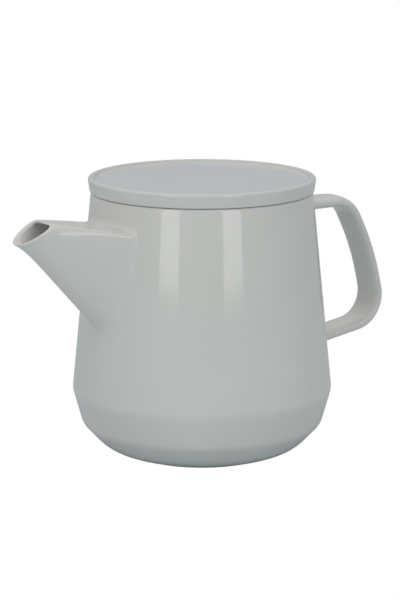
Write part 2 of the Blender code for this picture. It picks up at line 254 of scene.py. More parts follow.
def spaced(points, count, tight):
    """count + 1 points along a fine polyline, closer together where it bends. tight sets how much closer."""
    points = np.array(points)
    steps = np.diff(points, axis=0)
    lengths = np.linalg.norm(steps, axis=1)
    angles = np.unwrap(np.arctan2(steps[:, 1], steps[:, 0]))
    bend = np.abs(np.gradient(angles)) * tight
    travel = np.concatenate(([0.0], np.cumsum(lengths + bend)))
    at = np.linspace(0.0, travel[-1], count + 1)
    return np.stack([np.interp(at, travel, points[:, k]) for k in range(2)], axis=1)


# ---------------- mesh building
def placed(name, data):
    """A new object in the scene."""
    obj = bpy.data.objects.new(name, data)
    bpy.context.scene.collection.objects.link(obj)
    return obj


class Skin:
    """Points and faces of one surface, gathered ring by ring."""

    def __init__(self):
        self.points = []
        self.faces = []
        self.slots = []

    def ring(self, points):
        first = len(self.points)
        self.points.extend(tuple(float(c) for c in p) for p in points)
        return list(range(first, len(self.points)))

    def face(self, indices, slot=0):
        self.faces.append(tuple(indices))
        self.slots.append(slot)

    def band(self, low, high, slot=0, closed=True):
        count = len(low)
        for i in range(count if closed else count - 1):
            j = (i + 1) % count
            self.face((low[i], low[j], high[j], high[i]), slot)

    def grow(self, ring, points, slot=0):
        """A new ring, joined to the one before it."""
        new = self.ring(points)
        self.band(ring, new, slot)
        return new

    def fan(self, ring, point, slot=0):
        tip = self.ring([point])[0]
        for i, here in enumerate(ring):
            self.face((here, ring[(i + 1) % len(ring)], tip), slot)

    def build(self, name, materials):
        mesh = bpy.data.meshes.new(name)
        mesh.from_pydata(self.points, [], self.faces)
        for material in materials:
            mesh.materials.append(material)
        mesh.polygons.foreach_set("material_index", self.slots)
        bm = bmesh.new()
        bm.from_mesh(mesh)
        bmesh.ops.delete(bm, geom=[v for v in bm.verts if not v.link_faces], context="VERTS")
        bmesh.ops.recalc_face_normals(bm, faces=bm.faces)
        bm.to_mesh(mesh)
        bm.free()
        mesh.shade_smooth()
        return placed(name, mesh)


def circle(radius, z, count):
    turn = np.arange(count) * 2 * math.pi / count
    return np.stack([radius * np.cos(turn), radius * np.sin(turn), np.full(count, z)], axis=1)


def turned(name, outline, columns, materials, closed=False, slot_of=None):
    """A round piece from (radius, height) points. slot_of gives the slot of the band at a point."""
    skin = Skin()
    off_axis = [(r, z) for r, z in outline if r > 0.0 or closed]
    rings = [skin.ring(circle(r, z, columns)) for r, z in off_axis]
    for k, ((r, z), (next_r, next_z)) in enumerate(zip(off_axis, off_axis[1:])):
        skin.band(rings[k], rings[k + 1], slot_of((r + next_r) / 2, (z + next_z) / 2) if slot_of else 0)
    if closed:
        skin.band(rings[-1], rings[0])
    else:
        skin.fan(rings[0], (0.0, 0.0, outline[0][1]))
        skin.fan(rings[-1], (0.0, 0.0, outline[-1][1]))
    return skin.build(name, materials)


# ---------------- body, spout and handle in one skin
class Root:
    """Where a spout or strap grows out of the pot's wall: a window in the grid, a fillet, and its lines."""

    RINGS = 6
    CROWD = 1.25                                    # above 1, the rings lie closer together at the fillet
    FILLET_STEPS = 8

    def __init__(self, skin, window, lines, radius_at, reach, line_reach=None, slot=0):
        self.skin = skin
        self.slot = slot
        self.lines = lines                          # [station, line, xyz], from behind the wall outwards
        self.count = lines.shape[1]
        self.radius_at = radius_at
        self.leave = self.crossings()
        self.start = self.along(self.leave)
        turn, height = self.unrolled(self.start)
        out = self.outward(turn, height)
        mean_r = float(np.mean(radius_at(height)))
        away_turn = turn + out[:, 0] * reach / mean_r
        away_height = height + out[:, 1] * reach
        self.onward = self.advance(self.leave, reach if line_reach is None else line_reach)
        self.ring = self.fillet(self.apron(window, away_turn, away_height), away_turn, away_height)

    def apron(self, window, away_turn, away_height):
        """Rings on the wall, from the window's edge to the foot of the fillet."""
        window_turn, window_height = self.unrolled(np.array([self.skin.points[i] for i in window]))
        ring = window
        for step in range(1, self.RINGS + 1):
            share = 1 - (1 - step / self.RINGS) ** self.CROWD
            turn = window_turn + (away_turn - window_turn) * share
            height = window_height + (away_height - window_height) * share
            ring = self.skin.grow(ring, self.on_wall(turn, height), self.slot)
        return ring

    def fillet(self, ring, away_turn, away_height):
        """Rings that curve from the wall onto the lines."""
        foot = self.on_wall(away_turn, away_height)
        top = self.along(self.onward)
        for step in range(1, self.FILLET_STEPS + 1):
            t = step / self.FILLET_STEPS
            points = (1 - t) ** 2 * foot + 2 * t * (1 - t) * self.start + t ** 2 * top
            ring = self.skin.grow(ring, points, self.slot)
        return ring

    def along(self, place):
        """Points on the lines at fractional stations."""
        low = np.clip(np.floor(place).astype(int), 0, len(self.lines) - 2)
        share = (place - low)[:, None]
        pick = np.arange(self.count)
        return self.lines[low, pick] * (1 - share) + self.lines[low + 1, pick] * share

    def crossings(self):
        """The stations where the lines come out through the wall."""
        gap = np.hypot(self.lines[:, :, 0], self.lines[:, :, 1]) - self.radius_at(self.lines[:, :, 2])
        place = np.zeros(self.count)
        for k in range(self.count):
            first = int(np.argmax(gap[:, k] > 0.0))
            before, after = gap[first - 1, k], gap[first, k]
            place[k] = first - 1 + before / (before - after)
        return place

    def advance(self, place, reach):
        """The stations a given length further along each line."""
        lengths = np.linalg.norm(np.diff(self.lines, axis=0), axis=2)
        travel = np.concatenate((np.zeros((1, self.count)), np.cumsum(lengths, axis=0)))
        stations = np.arange(len(self.lines))
        result = np.zeros(self.count)
        for k in range(self.count):
            here = np.interp(place[k], stations, travel[:, k]) + reach[k]
            result[k] = np.interp(here, travel[:, k], stations)
        return result

    def unrolled(self, points):
        """Turn angle, measured from the middle of the root, and height of each point."""
        middle = math.pi if points[:, 0].mean() < 0.0 else 0.0
        self.middle = middle
        turn = np.arctan2(points[:, 1], points[:, 0]) - middle
        return (turn + math.pi) % (2 * math.pi) - math.pi, points[:, 2]

    def outward(self, turn, height):
        """Directions on the unrolled wall, square to the root's outline and away from it."""
        radius = float(np.mean(self.radius_at(height)))
        flat = np.stack([turn * radius, height], axis=1)
        ahead = np.roll(flat, -1, axis=0) - np.roll(flat, 1, axis=0)
        out = np.stack([ahead[:, 1], -ahead[:, 0]], axis=1)
        out /= np.linalg.norm(out, axis=1)[:, None]
        if np.sum(out * (flat - flat.mean(axis=0))) < 0.0:
            out = -out
        return out

    def on_wall(self, turn, height):
        radius = self.radius_at(height)
        angle = turn + self.middle
        return np.stack([radius * np.cos(angle), radius * np.sin(angle), height], axis=1)


def window_loop(grid, middle, top_row, columns, rows, step, from_top=True):
    """Grid points round a window, from the middle of one edge. step is the way in which +Y lies."""
    half = columns // 2
    left = [(middle + step * k) % COLUMNS for k in range(half + 1)]
    right = [(middle - step * k) % COLUMNS for k in range(half + 1)]
    first, last = (top_row, top_row + rows) if from_top else (top_row + rows, top_row)
    way = 1 if from_top else -1
    loop = [grid[first][c] for c in left[:-1]]
    loop += [grid[r][left[-1]] for r in range(first, last, way)]
    loop += [grid[last][c] for c in left[:0:-1]] + [grid[last][c] for c in right[:-1]]
    loop += [grid[r][right[-1]] for r in range(last, first, -way)]
    loop += [grid[first][c] for c in right[:0:-1]]
    return loop


def spout_section(along, wall, top_wall, top_points, side_points):
    """One closed section of the spout, from its top centre round by +Y, at a share of its length."""
    root_r = body_r(SPOUT_ROOT_Z)
    keel_z = SPOUT_ROOT_Z - SPOUT_KEEL_DROP
    keel_r = body_r(keel_z)
    start = root_r - SPOUT_BEHIND
    mouth = root_r + SPOUT_MOUTH_OUT
    tip = root_r + SPOUT_TIP_OUT
    mouth_z = SPOUT_ROOT_Z + SPOUT_RISE * SPOUT_MOUTH_OUT
    tip_z = mouth_z - SPOUT_TIP_FALL
    keel_slope = (tip_z + SPOUT_FLARE - keel_z) / (tip - keel_r)
    narrowing = (SPOUT_ROOT_HALF - SPOUT_MOUTH_HALF) / SPOUT_MOUTH_OUT
    top_x = start + (mouth - start) * along
    low_x = start + (tip - start) * along
    bend = max(0.0, (low_x - tip) / SPOUT_FLARE_RUN + 1.0)
    low_z = keel_z + keel_slope * (low_x - keel_r) - SPOUT_FLARE * bend ** SPOUT_FLARE_POWER
    top = np.array((-top_x, 0.0, SPOUT_ROOT_Z + SPOUT_RISE * (top_x - root_r)))
    low = np.array((-low_x, 0.0, low_z))
    depth = float(np.linalg.norm(low - top))
    down = (low - top) / depth
    roll = max(0.0, (along - LIP_ROLL_FROM) / (1.0 - LIP_ROLL_FROM))
    half = SPOUT_ROOT_HALF - narrowing * (top_x - root_r) - wall * (1 + SIDE_WALL_GROWS * roll)
    if wall == 0.0:
        half += LIP_ROLL * roll ** 2
    rounder = max(0.0, along) ** SPOUT_EDGE_POWER
    edge = SPOUT_EDGE_R + (SPOUT_MOUTH_EDGE_R - SPOUT_EDGE_R) * rounder - 0.4 * wall
    top = top + down * top_wall
    depth -= top_wall + KEEL_WALL * wall
    arc = np.linspace(0.0, math.pi / 2, 25)
    corner = np.stack([half - edge + edge * np.sin(arc), edge - edge * np.cos(arc)], axis=1)
    lower = np.linspace(0.0, math.pi / 2, 120)[1:]
    side = np.stack([half * np.cos(lower), edge + (depth - edge) * np.sin(lower)], axis=1)
    upper_part = spaced([(0.0, 0.0)] + [tuple(p) for p in corner[:13]], top_points, 4 * MM)
    lower_part = spaced([tuple(p) for p in corner[12:]] + [tuple(p) for p in side], side_points, 4 * MM)
    shape = np.concatenate((upper_part[:-1], lower_part))
    shape = np.concatenate((shape, shape[-2:0:-1] * (-1, 1)))
    points = top + down * shape[:, 1:2]
    points[:, 1] = shape[:, 0]
    return points


def spout_lines(wall, start, count):
    """Lines along the spout's outside, where wall is 0, or along its passage, up to the mouth."""
    top_points = SPOUT_COLS // 2
    side_points = SPOUT_COLS // 2 + SPOUT_ROWS
    sections = []
    for along in np.linspace(start, 1.0, count):
        lip = min(1.0, max(0.0, (along - TOP_WALL_FROM) / (1.0 - TOP_WALL_FROM)))
        top_wall = wall * (1.0 - TOP_WALL_THINS * lip)
        sections.append(spout_section(along, wall, top_wall, top_points, side_points))
    return np.array(sections)


def strap_lines():
    """Lines along the strap from inside the upper root, round the grip, to inside the lower one."""
    root_r = body_r(HANDLE_Z)
    inside = root_r - 2 * WALL
    corners = [(inside, HANDLE_Z, 0.0)]
    corners += [(root_r + out, height, radius) for out, height, radius in HANDLE_CORNERS]
    corners.append((inside, HANDLE_LOW_Z, 0.0))
    fine = np.array(divided(rounded(corners, arc=math.radians(2)), 0.5 * MM))
    travel = np.concatenate(([0.0], np.cumsum(np.linalg.norm(np.diff(fine, axis=0), axis=1))))
    at = np.arange(0.0, travel[-1], STRAP_STEP)
    path = np.stack([np.interp(at, travel, fine[:, k]) for k in range(2)], axis=1)
    soft = path.copy()
    window = np.hanning(2 * STRAP_SOFT + 1)
    window /= window.sum()
    for k in range(2):
        soft[STRAP_SOFT:-STRAP_SOFT, k] = np.convolve(path[:, k], window, mode="valid")
    quarter = np.linspace(0.0, math.pi / 2, 90)
    power = 2 / STRAP_POWER
    wide = np.sin(quarter) ** power * STRAP_WIDTH / 2
    thick = np.cos(quarter) ** power * STRAP_THICK / 2
    per_quarter = (STRAP_COLS + STRAP_ROWS) // 2
    one = spaced(list(zip(wide, thick)), per_quarter, 2.2 * MM)
    half = np.concatenate((one, one[-2::-1] * (1, -1)))
    shape = np.concatenate((half, half[-2:0:-1] * (-1, 1)))
    ahead = np.gradient(soft, axis=0)
    ahead /= np.linalg.norm(ahead, axis=1)[:, None]
    out = np.stack([-ahead[:, 1], ahead[:, 0]], axis=1)
    lines = np.zeros((len(soft), len(shape), 3))
    lines[:, :, 0] = soft[:, 0:1] + out[:, 0:1] * shape[:, 1]
    lines[:, :, 2] = soft[:, 1:2] + out[:, 1:2] * shape[:, 1]
    lines[:, :, 1] = shape[:, 0]
    return lines


def pot_outline():
    """Half section of the body, from the inner floor up the inside, over the rim and down to the foot."""
    lean = Vector((TOE_R - KNUCKLE_R, TOE_Z - KNUCKLE_Z)).normalized()
    inward = Vector((lean.y, -lean.x)) * WALL
    floor_z = FOOT_RECESS + WALL
    knuckle_in = Vector((KNUCKLE_R, KNUCKLE_Z)) + inward
    run = (knuckle_in.y - floor_z) / -lean.y
    floor_r = knuckle_in.x + lean.x * run
    ledge_z = RIM_Z - LEDGE_DEPTH
    rim_in_r = RIM_R - RIM_WALL
    bore_r = rim_in_r - LEDGE_WIDTH
    ledge_low = ledge_z - LEDGE_THICK
    inside_r = body_r(ledge_low - LEDGE_WIDTH) - WALL
    haunch_z = ledge_low - (inside_r - bore_r)
    inner = rounded([
        (0.0, floor_z, 0.0),
        (floor_r, floor_z, 9 * MM),
        (knuckle_in.x, knuckle_in.y, 6 * MM),
        (SHOULDER_R - WALL, SHOULDER_Z, 8 * MM),
        (body_r(haunch_z) - WALL, haunch_z, 3 * MM),
        (bore_r, ledge_low, 0.8 * MM),
        (bore_r, ledge_z, 0.5 * MM),
        (rim_in_r, ledge_z, 0.5 * MM),
        (rim_in_r, RIM_Z, 0.8 * MM),
        (rim_in_r + 1.5 * MM, RIM_Z, 0.0),
    ])
    outer = rounded([
        (rim_in_r + 1.5 * MM, RIM_Z, 0.0),
        (RIM_R, RIM_Z, 1.0 * MM),
        (SHOULDER_R, SHOULDER_Z, 9 * MM),
        (CREASE_R + 0.15 * MM, CREASE_Z + 1.0 * MM, 3 * MM),
        (CREASE_R - 0.1 * MM, CREASE_Z, 0.3 * MM),
        (KNUCKLE_R, KNUCKLE_Z, 8.8 * MM),
        (TOE_R, TOE_Z, 20 * MM),
        (FOOT_R, 0.0, 1.5 * MM),
        (FOOT_R - FOOT_RING, 0.0, 0.8 * MM),
        (FOOT_R - FOOT_RING - FOOT_RECESS, FOOT_RECESS, 0.8 * MM),
        (0.0, FOOT_RECESS, 0.0),
    ])
    return divided(inner, ROW_IN), divided(outer, ROW)


def row_at(outline, top_z):
    """Row whose height is nearest to top_z on the wall of an outline."""
    rows = [k for k, (r, _) in enumerate(outline) if r > 0.8 * RIM_R]
    return min(rows, key=lambda k: abs(outline[k][1] - top_z))


def make_pot(materials):
    inner, outer = pot_outline()
    rows = inner[1:-1] + outer[:-1]
    skin = Skin()
    grid = [skin.ring(circle(r, z, COLUMNS)) for r, z in rows]
    count_in = len(inner) - 2

    wall_in = [(r, z) for r, z in inner if r > 0.7 * RIM_R and z > FOOT_RECESS + WALL + MM]
    in_z = np.array([z for r, z in wall_in])
    in_r = np.array([r for r, z in wall_in])
    order = np.argsort(in_z, kind="stable")

    def inner_r(z):
        return np.interp(z, in_z[order], in_r[order])

    def slot_of(row):
        """Bare under the foot ring, a lighter copy of the glaze inside as painted light in the hollows, and
        the outer glaze elsewhere.
        """
        r = (rows[row][0] + rows[row + 1][0]) / 2
        z = (rows[row][1] + rows[row + 1][1]) / 2
        if z < 0.25 * MM and FOOT_R - FOOT_RING - 0.4 * MM < r < FOOT_R + 0.4 * MM:
            return BARE
        return PAINTED_LIGHT_INSIDE if row < count_in - RIM_ROWS else GLAZED

    out_row = count_in + row_at(outer, SPOUT_WINDOW_Z)
    high_row = count_in + row_at(outer, HANDLE_Z + STRAP_ROWS / 2 * ROW)
    low_row = count_in + row_at(outer, HANDLE_LOW_Z + STRAP_ROWS / 2 * ROW)
    in_row = row_at(inner, SPOUT_WINDOW_IN_Z) - 1 - SPOUT_ROWS
    back = COLUMNS // 2
    windows = [
        (back, out_row, SPOUT_COLS, SPOUT_ROWS),
        (back, in_row, SPOUT_COLS, SPOUT_ROWS),
        (0, high_row, STRAP_COLS, STRAP_ROWS),
        (0, low_row, STRAP_COLS, STRAP_ROWS),
    ]
    holes = set()
    for middle, top, columns, depth in windows:
        for row in range(top, top + depth):
            for column in range(middle - columns // 2, middle + columns // 2):
                holes.add((row, column % COLUMNS))
    for row in range(len(grid) - 1):
        slot = slot_of(row)
        for column in range(COLUMNS):
            if (row, column) in holes:
                continue
            ahead = (column + 1) % COLUMNS
            face = (grid[row][column], grid[row][ahead], grid[row + 1][ahead], grid[row + 1][column])
            skin.face(face, slot)
    skin.fan(grid[0], (0.0, 0.0, inner[0][1]), PAINTED_LIGHT_INSIDE)
    skin.fan(grid[-1], (0.0, 0.0, outer[-1][1]))

    make_spout(skin, grid, back, out_row, in_row, inner_r)
    make_strap(skin, grid, high_row, low_row)
    return skin.build("teapot_pot", materials)


def make_spout(skin, grid, back, out_row, in_row, inner_r):
    loop_out = window_loop(grid, back, out_row, SPOUT_COLS, SPOUT_ROWS, -1)
    loop_in = window_loop(grid, back, in_row, SPOUT_COLS, SPOUT_ROWS, -1, from_top=False)
    outside = spout_lines(0.0, 0.0, 181)
    passage = spout_lines(SPOUT_WALL, PASSAGE_FROM, 201)
    count = outside.shape[1]
    place = np.minimum(np.arange(count), count - np.arange(count))
    marks, on_body, on_spout = zip(*SPOUT_FILLET)
    reach = np.interp(place, marks, on_body)
    line_reach = np.interp(place, marks, on_spout)
    outer_root = Root(skin, loop_out, outside, body_r, reach, line_reach)
    inner_root = Root(skin, loop_in, passage, inner_r, np.full(count, PASSAGE_FILLET), slot=PAINTED_LIGHT_INSIDE)

    ends = []
    for root in (outer_root, inner_root):
        tangent = root.lines[-1] - root.lines[-2]
        ends.append(tangent / np.linalg.norm(tangent, axis=1)[:, None])
    thickness = np.linalg.norm(outside[-1] - passage[-1], axis=1)
    keel_share = (place / (count / 2)) ** 5
    inner_back = thickness * (INNER_SHORT + INNER_SHORT_KEEL * keel_share)
    finals = []
    for root, back_off in ((outer_root, 0.5 * thickness), (inner_root, inner_back)):
        last = np.full(root.count, len(root.lines) - 1.0)
        lengths = np.linalg.norm(root.lines[-1] - root.lines[-2], axis=1)
        stop = last - back_off / lengths
        ring = root.ring
        for step in range(1, SPOUT_RINGS + 1):
            at = root.onward + (stop - root.onward) * step / SPOUT_RINGS
            ring = skin.grow(ring, root.along(at), root.slot)
        finals.append((ring, root.along(stop)))
    (ring, outer_end), (last_ring, inner_end) = finals
    pull = (LIP_PULL * np.linalg.norm(outer_end - inner_end, axis=1))[:, None]
    first_pull = outer_end + ends[0] * np.minimum(pull, LIP_PULL_MOST * thickness[:, None])
    last_pull = inner_end + ends[1] * pull
    for step in range(1, LIP_RINGS):
        t = step / LIP_RINGS
        bend = (1 - t) ** 3 * outer_end + 3 * t * (1 - t) ** 2 * first_pull
        ring = skin.grow(ring, bend + 3 * t ** 2 * (1 - t) * last_pull + t ** 3 * inner_end)
    skin.band(ring, last_ring)


def make_strap(skin, grid, high_row, low_row):
    high_loop = window_loop(grid, 0, high_row, STRAP_COLS, STRAP_ROWS, 1)
    low_loop = window_loop(grid, 0, low_row, STRAP_COLS, STRAP_ROWS, 1, from_top=False)
    lines = strap_lines()
    reach = np.full(lines.shape[1], STRAP_FILLET)
    high = Root(skin, high_loop, lines, body_r, reach)
    low = Root(skin, low_loop, lines[::-1], body_r, reach)
    stop = len(lines) - 1 - low.onward
    ring = high.ring
    for step in range(1, STRAP_RINGS):
        ring = skin.grow(ring, high.along(high.onward + (stop - high.onward) * step / STRAP_RINGS))
    skin.band(ring, low.ring)


# ---------------- the lid
def make_lid(materials):
    """A dished plate a little wider than the rim, with a locating ring underneath."""
    low_z, top_z = LID_SEAT_Z, LID_HIGH[2]
    ring_low = LID_LOW[2]
    outline = rounded([
        (0.0, LID_DISH_Z, 0.0),
        (LID_R - LID_BORDER, LID_DISH_Z, 2.3 * MM),
        (LID_R - LID_BEVEL, top_z, 1.1 * MM),
        (LID_R, top_z - LID_BEVEL_FALL, 1.8 * MM),
        (LID_R - LID_DRAW, low_z, 0.8 * MM),
        (RING_R, low_z, 0.9 * MM),
        (RING_R, ring_low, 1.3 * MM),
        (RING_R - RING_THICK, ring_low, 1.3 * MM),
        (RING_R - RING_THICK, low_z, 1.8 * MM),
        (0.0, low_z, 0.0),
    ])

    def slot_of(r, z):
        """The face that sits on the rim is bare."""
        return BARE if abs(z - low_z) < 0.05 * MM and r > RING_R else GLAZED

    return turned("teapot_lid", divided(outline, 2.4 * MM), COLUMNS, materials, slot_of=slot_of)


# ---------------- the infuser basket
def tube_r(z):
    """Outside radius of the basket's wall at height z."""
    share = (z - TUBE_LOW[2]) / (TUBE_HIGH[2] - TUBE_LOW[2])
    return TUBE_HIGH[0] - BASKET_TAPER * (1.0 - share)


def make_collar(materials):
    """Spun ring: a flat flange with a hemmed edge, and a skirt with a stiffening bead."""
    top_z, low_z = COLLAR_HIGH[2], COLLAR_LOW[2]
    flange_r = COLLAR_HIGH[0]
    skirt_r = TUBE_HIGH[0] + 0.3 * MM + SHEET
    bead_z = low_z + 4.2 * MM
    bead = 0.5 * MM
    half = 1.3 * MM
    edge = 0.38 * MM
    outline = rounded([
        (flange_r, top_z, edge),
        (flange_r, top_z - SHEET, edge),
        (skirt_r, top_z - SHEET, 0.8 * MM),
        (skirt_r, bead_z + half, 0.9 * MM),
        (skirt_r + bead, bead_z, 0.9 * MM),
        (skirt_r, bead_z - half, 0.9 * MM),
        (skirt_r, low_z, edge),
        (skirt_r - SHEET, low_z, edge),
        (skirt_r - SHEET, top_z, 1.6 * MM),
    ], closed=True)
    outline = divided(outline, 1.5 * MM, closed=True)
    return turned("infuser_collar_visual", outline, COLLAR_COLUMNS, materials, closed=True)


def around(cell, z, inset):
    """A point of the tube's wall, at a cell round it and a height."""
    turn = 2 * math.pi * cell / TUBE_CELLS
    radius = tube_r(z) - inset
    return (radius * math.cos(turn), radius * math.sin(turn), z)


CELL_EDGE = ((0, 0), (1, 0), (2, 0), (2, 1), (2, 2), (1, 2), (0, 2), (0, 1))  # in half cells
HOLE_TURNS = (225, 270, 315, 0, 45, 90, 135, 180)


def make_tube(materials):
    """Rolled perforated sheet, with a hole in every other cell of a grid and a strip left whole."""
    skin = Skin()
    low, high = TUBE_LOW[2], TUBE_HIGH[2]
    cell_high = HOLE_PITCH * math.sin(math.radians(60))
    first = low + TUBE_PLAIN_LOW
    rows = int((COLLAR_LOW[2] - TUBE_PLAIN_HIGH - first) / cell_high)
    last = first + rows * cell_high
    halves = 2 * TUBE_CELLS
    sides = []
    for inset in (0.0, TUBE_SHEET):
        nodes = {}

        def node(i, z_key, z, inset=inset, nodes=nodes):
            i %= halves
            key = (i, z_key)
            if key not in nodes:
                rise = SEAM_RISE if i == 2 * SEAM_CELL and inset == 0.0 else 0.0
                nodes[key] = skin.ring([around(i / 2, z, inset - rise)])[0]
            return nodes[key]

        holes = []
        for j in range(rows):
            for c in range(TUBE_CELLS):
                edge = []
                for a, b in CELL_EDGE:
                    edge.append(node(2 * c + a, 2 * j + b, first + (2 * j + b) * cell_high / 2))
                if (c + j) % 2 or abs(c - SEAM_CELL) <= SEAM_CELLS:
                    skin.face(edge if inset == 0.0 else edge[::-1])
                    continue
                mid_z = first + (j + 0.5) * cell_high
                width = 2 * math.pi * tube_r(mid_z) / TUBE_CELLS
                ring = []
                for degrees in HOLE_TURNS:
                    across = HOLE_R * math.cos(math.radians(degrees)) / width
                    up = HOLE_R * math.sin(math.radians(degrees))
                    ring.append(around(c + 0.5 + across, mid_z + up, inset))
                ring = skin.ring(ring)
                skin.band(edge, ring)
                holes.append(ring)
        ends = []
        for z_key, z_from, z_to in ((0, first, low), (2 * rows, last, high)):
            ring = [node(i, z_key, z_from) for i in range(halves)]
            steps = max(1, round(abs(z_to - z_from) / (4 * MM)))
            for step in range(1, steps + 1):
                z = z_from + (z_to - z_from) * step / steps
                new = [node(i, (z_key, step), z) for i in range(halves)]
                skin.band(ring, new)
                ring = new
            ends.append(ring)
        sides.append((holes, ends))
    for outer, inner in zip(sides[0][0], sides[1][0]):
        skin.band(outer, inner)
    for outer, inner in zip(sides[0][1], sides[1][1]):
        skin.band(outer, inner)
    return skin.build("infuser_tube_visual", materials)


def make_base(materials):
    """Pressed dish with a perforated floor and a lip that stands inside the tube."""
    low_z, lip_z = BASE_LOW[2], BASE_HIGH[2]
    low_r = tube_r(low_z) - TUBE_SHEET - 0.3 * MM
    lip_r = tube_r(lip_z) - TUBE_SHEET - 0.3 * MM
    floor_r = low_r - 4.0 * MM
    top_z = low_z + TUBE_SHEET
    columns = BASE_COLUMNS
    outline = rounded([
        (floor_r, top_z, 0.0),
        (low_r - TUBE_SHEET, top_z, 0.9 * MM),
        (lip_r - TUBE_SHEET, lip_z, 0.25 * MM),
        (lip_r, lip_z, 0.25 * MM),
        (low_r, low_z, 1.5 * MM),
        (floor_r, low_z, 0.0),
    ])
    outline = divided(outline, 1.5 * MM)
    skin = Skin()
    rings = [skin.ring(circle(r, z, columns)) for r, z in outline]
    for upper, lower in zip(rings, rings[1:]):
        skin.band(upper, lower)

    turn = np.arange(columns) * 2 * math.pi / columns
    flat = [Vector((floor_r / MM * math.cos(t), floor_r / MM * math.sin(t))) for t in turn]
    edges = [(k, (k + 1) % columns) for k in range(columns)]
    pitch = HOLE_PITCH / MM
    rise = pitch * math.sin(math.radians(60))
    reach = floor_r / MM - 1.2 * pitch
    count = int(reach / rise) + 1
    centres = []
    for row in range(-count, count + 1):
        for column in range(-count - 1, count + 2):
            centre = Vector(((column + (row % 2) / 2) * pitch, row * rise))
            if centre.length < reach:
                centres.append(centre)
    for centre in centres:
        start = len(flat)
        for k in range(8):
            angle = math.pi / 4 * k
            flat.append(centre + Vector((math.cos(angle), math.sin(angle))) * (HOLE_R / MM))
        edges += [(start + k, start + (k + 1) % 8) for k in range(8)]
    points, _, faces, origin, _, _ = geometry.delaunay_2d_cdt(flat, edges, [], 1, 1e-6)
    place = {source[0]: k for k, source in enumerate(origin) if source}
    hole_faces = set()
    for k in range(len(centres)):
        start = columns + 8 * k
        hole_faces.add(frozenset(place[start + i] for i in range(8)))
    levels = []
    for z in (top_z, low_z):
        levels.append(skin.ring([(p.x * MM, p.y * MM, z) for p in points]))
    for face in faces:
        if any(set(face) <= hole for hole in hole_faces if face[0] in hole):
            continue
        skin.face([levels[0][i] for i in face])
        skin.face([levels[1][i] for i in face[::-1]])
    for k in range(len(centres)):
        start = columns + 8 * k
        ring = [place[start + i] for i in range(8)]
        skin.band([levels[0][i] for i in ring], [levels[1][i] for i in ring])
    border = [place[i] for i in range(columns)]
    skin.band(rings[0], [levels[0][i] for i in border])
    skin.band(rings[-1], [levels[1][i] for i in border])
    obj = skin.build("infuser_base_visual", materials)
    bm = bmesh.new()
    bm.from_mesh(obj.data)
    bmesh.ops.remove_doubles(bm, verts=bm.verts, dist=0.01 * MM)
    bmesh.ops.recalc_face_normals(bm, faces=bm.faces)
    bm.to_mesh(obj.data)
    bm.free()
    return obj


def swept(skin, path, radius, sides=16):
    """A round wire along a path, with rounded ends."""
    path = np.array(path)
    ahead = np.gradient(path, axis=0)
    ahead /= np.linalg.norm(ahead, axis=1)[:, None]
    side = np.cross(ahead[0], (0.0, 1.0, 0.0))
    side /= np.linalg.norm(side)
    turn = np.arange(sides) * 2 * math.pi / sides
    leans = [math.pi / 2 * k / 3 for k in range(3)]
    cap = [(math.cos(lean), math.sin(lean)) for lean in leans]
    places = [(path[0] - ahead[0] * radius * out, ahead[0], radius * size) for out, size in cap]
    places += [(here, way, radius) for here, way in zip(path, ahead)]
    places += [(path[-1] + ahead[-1] * radius * out, ahead[-1], radius * size) for out, size in cap[::-1]]
    ring = None
    for here, way, size in places:
        side = side - way * np.dot(side, way)
        side /= np.linalg.norm(side)
        other = np.cross(way, side)
        if size == 0.0:
            if ring is not None:
                skin.fan(ring, here)
            else:
                tip = here
            continue
        new = skin.ring([here + size * (math.cos(t) * side + math.sin(t) * other) for t in turn])
        if ring is None:
            skin.fan(new, tip)
        else:
            skin.band(ring, new)
        ring = new


def weld_dot(skin, centre, out, radius, height):
    """A low round bead of weld metal."""
    out = np.array(out)
    side = np.cross(out, (0.0, 0.0, 1.0))
    side /= np.linalg.norm(side)
    up = np.cross(out, side)
    turn = np.arange(14) * 2 * math.pi / 14
    ring = None
    for lean in (-60, -25, 10, 35, 62):
        size = radius * math.cos(math.radians(lean))
        lift = height * math.sin(math.radians(lean))
        new = skin.ring([centre + out * lift + size * (math.cos(t) * side + math.sin(t) * up) for t in turn])
        if ring is None:
            skin.fan(new, centre + out * (lift - 0.2 * height))
        else:
            skin.band(ring, new)
        ring = new
    skin.fan(ring, centre + out * height)


def make_loop(name, side, materials):
    """A bent wire that the hot basket is lifted by, with its legs welded to the tube."""
    wire_r = (LOOP_HIGH[0] - LOOP_LOW[0]) / 2 - LOOP_HALF
    arch_z = LOOP_HIGH[2] - wire_r
    lean_top = arch_z - LOOP_RISE
    lean_low = lean_top - LOOP_JOG
    weld_low = LOOP_LOW[2] + wire_r
    leg_r = tube_r(weld_low) - TUBE_SHEET - 0.3 * MM - wire_r
    arch_r = RING_R - RING_THICK - LOOP_CLEAR - wire_r
    leg_y = side * math.sqrt(leg_r ** 2 - LOOP_HALF ** 2)
    arch_y = side * math.sqrt(arch_r ** 2 - LOOP_HALF ** 2)
    one = [
        (LOOP_HALF, leg_y, weld_low, 0.0),
        (LOOP_HALF, leg_y, lean_low, LOOP_BEND_R),
        (LOOP_HALF, arch_y, lean_top, LOOP_BEND_R),
        (LOOP_HALF, arch_y, arch_z, LOOP_CORNER),
    ]
    other = [(-x, y, z, radius) for x, y, z, radius in reversed(one)]
    skin = Skin()
    swept(skin, divided(rounded(one + other, arc=math.radians(7)), 1.2 * MM), wire_r)
    for x in (-LOOP_HALF, LOOP_HALF):
        away = np.array((x, leg_y, 0.0))
        away /= np.linalg.norm(away)
        for height in WELD_HEIGHTS:
            at = np.array((x, leg_y, weld_low + height)) + away * 0.55 * wire_r
            weld_dot(skin, at, away, 1.25 * wire_r, 0.5 * wire_r)
    return skin.build(name, materials)


